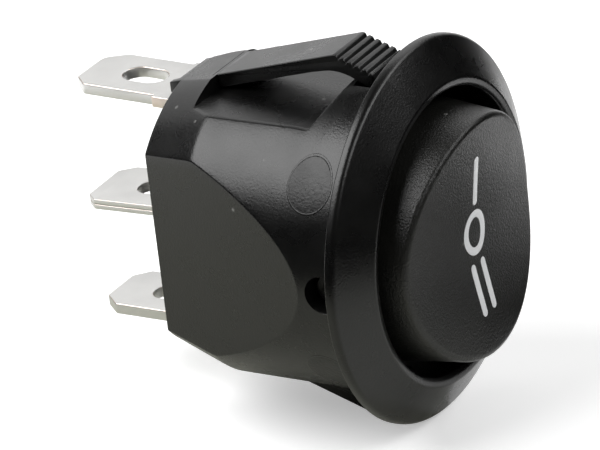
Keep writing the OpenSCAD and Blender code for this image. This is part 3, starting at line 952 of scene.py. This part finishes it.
def moulded(name, dark, light, rough, grain, depth, fleck=(0.12, 0.12, 0.115), share=0.08, specular=0.5):
    """Two close shades under a slow mottle, scattered flecks, and a fine grain in the surface."""
    mat = bpy.data.materials.new(name)
    mat.use_nodes = True
    n, links = mat.node_tree.nodes, mat.node_tree.links
    shader = n["Principled BSDF"]
    shader.inputs["Specular IOR Level"].default_value = specular
    g = n.new("ShaderNodeGroup")
    g.node_tree = GRAIN
    g.inputs["Grain size"].default_value = grain
    g.inputs["Fleck share"].default_value = share
    base = blend_colour(n, links, spread(n, links, g.outputs["Mottle"], 0, 1), dark, light)
    top = n.new("ShaderNodeMix")
    top.data_type = "RGBA"
    top.inputs["B"].default_value = (*fleck, 1)
    links.new(base.outputs["Result"], top.inputs["A"])
    links.new(g.outputs["Fleck"], top.inputs["Factor"])
    links.new(top.outputs["Result"], shader.inputs["Base Color"])
    links.new(spread(n, links, g.outputs["Mottle"], rough[0], rough[1]), shader.inputs["Roughness"])
    bump = n.new("ShaderNodeBump")
    bump.inputs["Strength"].default_value = 1.0
    bump.inputs["Distance"].default_value = depth * MM
    links.new(g.outputs["Height"], bump.inputs["Height"])
    links.new(bump.outputs["Normal"], shader.inputs["Normal"])
    return mat


def metal(name, dark, light, rough, grain, depth):
    """The same surface in metal, with a few darker flecks."""
    mat = moulded(name, dark, light, rough, grain, depth, fleck=tuple(0.8 * c for c in dark), share=0.02)
    mat.node_tree.nodes["Principled BSDF"].inputs["Metallic"].default_value = 1.0
    return mat


housing_plastic = moulded(
    "satin_black_nylon", (0.0022, 0.0022, 0.0022), (0.0042, 0.0042, 0.004), (0.25, 0.32), 7500.0, 0.012,
    specular=0.45)
rocker_plastic = moulded(
    "grained_black_nylon", (0.006, 0.006, 0.0052), (0.010, 0.010, 0.0088), (0.30, 0.35), 7500.0, 0.042,
    specular=0.45)
pin_plastic = moulded(
    "coarse_black_nylon", (0.002, 0.002, 0.002), (0.006, 0.006, 0.006), (0.30, 0.42), 5200.0, 0.022,
    share=0.2, specular=0.4)
print_ink = moulded(
    "white_print", (0.66, 0.665, 0.67), (0.74, 0.745, 0.75), (0.45, 0.6), 7000.0, 0.003,
    fleck=(0.6, 0.6, 0.58), share=0.04)
natural_nylon = moulded(
    "natural_nylon", (0.70, 0.67, 0.58), (0.78, 0.75, 0.66), (0.4, 0.5), 5000.0, 0.004,
    fleck=(0.6, 0.57, 0.5))
tin_plate = metal("tin_plated_brass", (0.63, 0.625, 0.612), (0.72, 0.715, 0.70), (0.32, 0.45), 3500.0, 0.003)
# copper for the sheared shoulders, and also painted shade on the blades' upward-facing bevels, where it tones
# down their white highlight
copper_edge_and_shade = metal(
    "copper_edge_and_painted_shade", (0.74, 0.62, 0.54), (0.80, 0.75, 0.70), (0.3, 0.45), 5000.0, 0.006)
brass = metal("bare_brass", (0.70, 0.52, 0.26), (0.78, 0.60, 0.33), (0.25, 0.4), 3000.0, 0.003)
silver = metal("silver_alloy", (0.80, 0.79, 0.77), (0.88, 0.87, 0.86), (0.2, 0.32), 3000.0, 0.002)
spring_steel = metal("spring_steel_wire", (0.52, 0.52, 0.53), (0.62, 0.62, 0.63), (0.25, 0.35), 4000.0, 0.002)


def dress(piece, *mats):
    """Gives a piece its materials."""
    piece.data.materials.clear()
    for m in mats:
        piece.data.materials.append(m)


# ---- put it together ----
shell = make_housing()
dress(shell, housing_plastic)
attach(shell, "base")
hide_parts("housing")

for name, side, stand_out in (("latch_upper", 1, 0.05), ("latch_lower", -1, 0.6)):
    for piece in (make_latch(name, side, stand_out), latch_tail(name + "_tail", side)):
        dress(piece, housing_plastic)
        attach(piece, "base")

corners = ((-1, EJECTOR_Z), (-1, -EJECTOR_Z), (1, EJECTOR_Z), (1, -EJECTOR_Z))
for i, (side, z) in enumerate(corners, 1):
    ring = ejector_ring("ejector_line_%d" % i, EJECTOR_Y, z, side)
    dress(ring, housing_plastic)
    disc = ejector_disc("ejector_pin_%d" % i, EJECTOR_Y, z, side)
    dress(disc, pin_plastic)
    for piece in (ring, disc):
        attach(piece, "base")

cap = make_rocker_cap()
works = make_rocker_works()
for piece in (cap, works):
    dress(piece, rocker_plastic)
    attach(piece, "rocker_body")
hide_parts("rocker")

for piece, node in zip(make_marks(), ("mark_one", "mark_off", "mark_two")):
    dress(piece, print_ink)
    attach(piece, "rocker_body")
    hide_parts(node)

# the wire eyes, as (start back from the tip, half width, length)
EYE = (2.4, 1.0, 2.9)
SMALL_EYE = (2.52, 0.86, 2.7)
# name, node, height, pitch, roll, near chamfer, far chamfer, eye, folded
BLADES = (
    ("blade_upper", "terminal_upper", BLADE_Z, 0.026, 0.0,
     (0.85, 0.9, 0.3), (0.95, 1.3, 0.8), EYE, False),
    ("blade_centre", "terminal_centre", 0.0, -0.024, 0.02,
     (0.6, 0.7, 0.2), (0.75, 0.95, 0.3), SMALL_EYE, True),
    ("blade_lower", "terminal_lower", -BLADE_Z, 0.0, 0.0,
     (0.95, 1.1, 0.25), (0.95, 0.9, 0.3), SMALL_EYE, False),
)


def copper_shoulder_and_shade_bevel(face):
    """Whether a face is a sheared shoulder, which is bare copper, or an upward-facing bevel outside the
    housing, which takes the copper colour as painted shade over its highlight.
    """
    centre = face.center / MM
    turned_x = abs(face.normal.x)
    at_shoulder = BODY_END - 0.3 < centre.y < SHOULDER_Y + 0.02
    sheared = turned_x > 0.8 and at_shoulder and abs(centre.x) > 2.5
    # painted shade: the upward-facing bevels outside the housing take the copper colour so that their white
    # highlight is toned down
    shaded_bevel = 0.3 < face.normal.z < 0.93 and turned_x > 0.25 and centre.y > BODY_END + 0.1
    return sheared or shaded_bevel


for name, node, *shape in BLADES:
    blade = make_blade(name, node, *shape)
    dress(blade, tin_plate, copper_edge_and_shade)
    # copper on the sheared shoulders, and painted shade on the upward-facing bevels
    for face in blade.data.polygons:
        if copper_shoulder_and_shade_bevel(face):
            face.material_index = 1
    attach(blade, "base")
    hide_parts(node)

inner_works = (
    ("fixed_contact_upper", silver), ("fixed_contact_lower", silver), ("contact_arm", brass),
    ("moving_contact_upper", silver), ("moving_contact_lower", silver), ("plunger", natural_nylon),
    ("spring", spring_steel))
for node, mat in inner_works:
    dress(nodes[node], mat)

# ---- camera ----
AZ, EL, ROLL = math.radians(-57.175), math.radians(24.335), math.radians(-6.771)
SENSOR_W = 36.0
FRAME_W = 600.0
FOCAL = 5317.938  # on the scale at which the frame is FRAME_W wide
ASIDE, ABOVE, DISTANCE = -7.194, 0.184, 309.762


def outward_to(az, el):
    """The direction from the object at az and el, in radians. Azimuth 0 is the front."""
    return Vector((math.sin(az) * math.cos(el), -math.cos(az) * math.cos(el), math.sin(el)))


back = outward_to(AZ, EL)
right = Vector((math.cos(AZ), math.sin(AZ), 0))
up = back.cross(right)
right_r = right * math.cos(ROLL) + up * math.sin(ROLL)
up_r = -right * math.sin(ROLL) + up * math.cos(ROLL)
camera = bpy.data.objects.new("camera", bpy.data.cameras.new("camera"))
bpy.context.scene.collection.objects.link(camera)
camera.data.sensor_width = SENSOR_W
camera.data.lens = FOCAL * SENSOR_W / FRAME_W
camera.data.clip_start, camera.data.clip_end = 0.01, 20.0
spot = right_r * ASIDE + up_r * ABOVE + back * DISTANCE
camera.matrix_world = Matrix((
    (right_r.x, up_r.x, back.x, spot.x * MM),
    (right_r.y, up_r.y, back.y, spot.y * MM),
    (right_r.z, up_r.z, back.z, spot.z * MM),
    (0, 0, 0, 1)))
bpy.context.scene.camera = camera

# ---- floor, light and surroundings ----


def white_where_seen(mat_nodes, links, strength):
    """A strength that counts only for what the camera, a reflection or a see-through surface looks at."""
    path = mat_nodes.new("ShaderNodeLightPath")
    add1, add2, scale = (mat_nodes.new("ShaderNodeMath") for _ in range(3))
    for step in (add1, add2):
        step.operation = "ADD"
        step.use_clamp = True
    scale.operation = "MULTIPLY"
    scale.inputs[1].default_value = strength
    links.new(path.outputs["Is Camera Ray"], add1.inputs[0])
    links.new(path.outputs["Is Glossy Ray"], add1.inputs[1])
    links.new(add1.outputs[0], add2.inputs[0])
    links.new(path.outputs["Is Transmission Ray"], add2.inputs[1])
    links.new(add2.outputs[0], scale.inputs[0])
    return scale.outputs[0]


def matt(name, colour):
    """Plain matt paper or cloth, for what stands round the object."""
    mat = bpy.data.materials.new(name)
    mat.use_nodes = True
    surface = mat.node_tree.nodes["Principled BSDF"]
    surface.inputs["Base Color"].default_value = (*colour, 1)
    surface.inputs["Roughness"].default_value = 1.0
    surface.inputs["Specular IOR Level"].default_value = 0.0
    return mat


floor_mat = matt("pale_floor", (0.88, 0.88, 0.88))
floor_nodes, floor_links = floor_mat.node_tree.nodes, floor_mat.node_tree.links
paper = floor_nodes["Principled BSDF"]
paper.inputs["Emission Color"].default_value = (1, 1, 1, 1)
floor_links.new(white_where_seen(floor_nodes, floor_links, FLOOR_GLOW), paper.inputs["Emission Strength"])
flag_black = matt("black_flag", (0.01, 0.01, 0.01))
bench_brown = matt("brown_card", (0.605, 0.61, 0.53))
bench_pale = matt("pale_card", (0.84, 0.85, 0.80))

floor_z = min(cad_low.z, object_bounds()[0].z) / MM - 0.02
FLOOR_R = 416.0
TENT_R = 420
turns = [math.pi * k / 60 for k in range(120)]
floor_edge = [(FLOOR_R * math.cos(a), FLOOR_R * math.sin(a), floor_z) for a in turns]
floor = new_piece("floor", floor_edge, [tuple(range(120))])
dress(floor, floor_mat)


def tent(name, radius, top_el, steps=72, rows=10):
    """A black tent over the object, unseen by the camera.

    With it only the lamps, the floor and the cards show in the object's gloss.
    """
    verts, faces = [], []
    low = math.asin((floor_z + 0.5) / radius)
    for j in range(rows + 1):
        el = low + (math.radians(top_el) - low) * j / rows
        across, up_z = radius * math.cos(el), radius * math.sin(el)
        for k in range(steps):
            a = 2 * math.pi * k / steps
            verts.append((across * math.sin(a), -across * math.cos(a), up_z))
    for j in range(rows):
        for k in range(steps):
            n = (k + 1) % steps
            faces.append((j * steps + k, j * steps + n, (j + 1) * steps + n, (j + 1) * steps + k))
    faces.append(tuple(range(rows * steps, (rows + 1) * steps)))
    card = new_piece(name, verts, faces)
    dress(card, flag_black)
    card.visible_camera = False


def card_strip(name, pairs, mat):
    """A strip of card through pairs of points, seen by nothing but the object's gloss."""
    verts = [point for pair in pairs for point in pair]
    faces = [(2 * k, 2 * k + 1, 2 * k + 3, 2 * k + 2) for k in range(len(pairs) - 1)]
    card = new_piece(name, verts, faces)
    dress(card, mat)
    card.visible_camera = False
    card.visible_shadow = False
    card.visible_diffuse = False


def low_flag(name, az0, az1, r0, r1, z1, mat, steps=40):
    """A low upright card that keeps the far floor out of the gloss.

    It stands at distance r0 at one end and r1 at the other.
    """
    pairs = []
    for k in range(steps + 1):
        a, r = math.radians(az0 + (az1 - az0) * k / steps), r0 + (r1 - r0) * k / steps
        pairs.append([(r * math.sin(a), -r * math.cos(a), z) for z in (floor_z + 0.2, z1)])
    card_strip(name, pairs, mat)


def under_card(name, az0, az1, r0, r1, mat, steps=48):
    """A flat sector of card that the gloss sees in place of the bright floor."""
    pairs = []
    for k in range(steps + 1):
        a = math.radians(az0 + (az1 - az0) * k / steps)
        pairs.append([(r * math.sin(a), -r * math.cos(a), floor_z + 0.1) for r in (r0, r1)])
    card_strip(name, pairs, mat)


tent("black_tent", TENT_R, 86)
under_card("card_left", -190, -62, 0.5, 60, bench_brown)
under_card("card_front", -62, 25, 0.5, 60, bench_pale)
under_card("card_side", 100, 160, 4, 24, bench_brown)
under_card("card_right", 25, 100, 14, 24, flag_black)
low_flag("flag_low_right", 25, 100, 24, 24, -9.3, flag_black)
low_flag("flag_left", -140, -60, 44, 48, 10, flag_black)
low_flag("flag_front", -60, 20, 48, 44, 10, flag_black)
low_flag("flag_right", 20, 92, 44, 44, 12, flag_black)


def soft_light(name, az, el, distance, width, height, radiance):
    """A soft box of even brightness round the object, sized in degrees as the object sees it."""
    toward = outward_to(math.radians(az), math.radians(el))
    data = bpy.data.lights.new(name, "AREA")
    data.shape = "ELLIPSE"
    data.size = 2 * distance * math.tan(math.radians(width / 2)) * MM
    data.size_y = 2 * distance * math.tan(math.radians(height / 2)) * MM
    data.energy = radiance * math.pi * (math.pi / 4 * data.size * data.size_y)
    lamp = bpy.data.objects.new(name, data)
    bpy.context.scene.collection.objects.link(lamp)
    lamp.location = toward * distance * MM
    lamp.rotation_mode = "QUATERNION"
    lamp.rotation_quaternion = toward.to_track_quat("Z", "Y")


for lamp in LAMPS:
    soft_light(*lamp)

world = bpy.data.worlds.new("studio")
bpy.context.scene.world = world
world.use_nodes = True
world_nodes, world_links = world.node_tree.nodes, world.node_tree.links
sky = world_nodes["Background"]
sky.inputs["Color"].default_value = (1, 1, 1, 1)
world_links.new(white_where_seen(world_nodes, world_links, 1.0), sky.inputs["Strength"])

bpy.context.scene.view_settings.view_transform = "Standard"
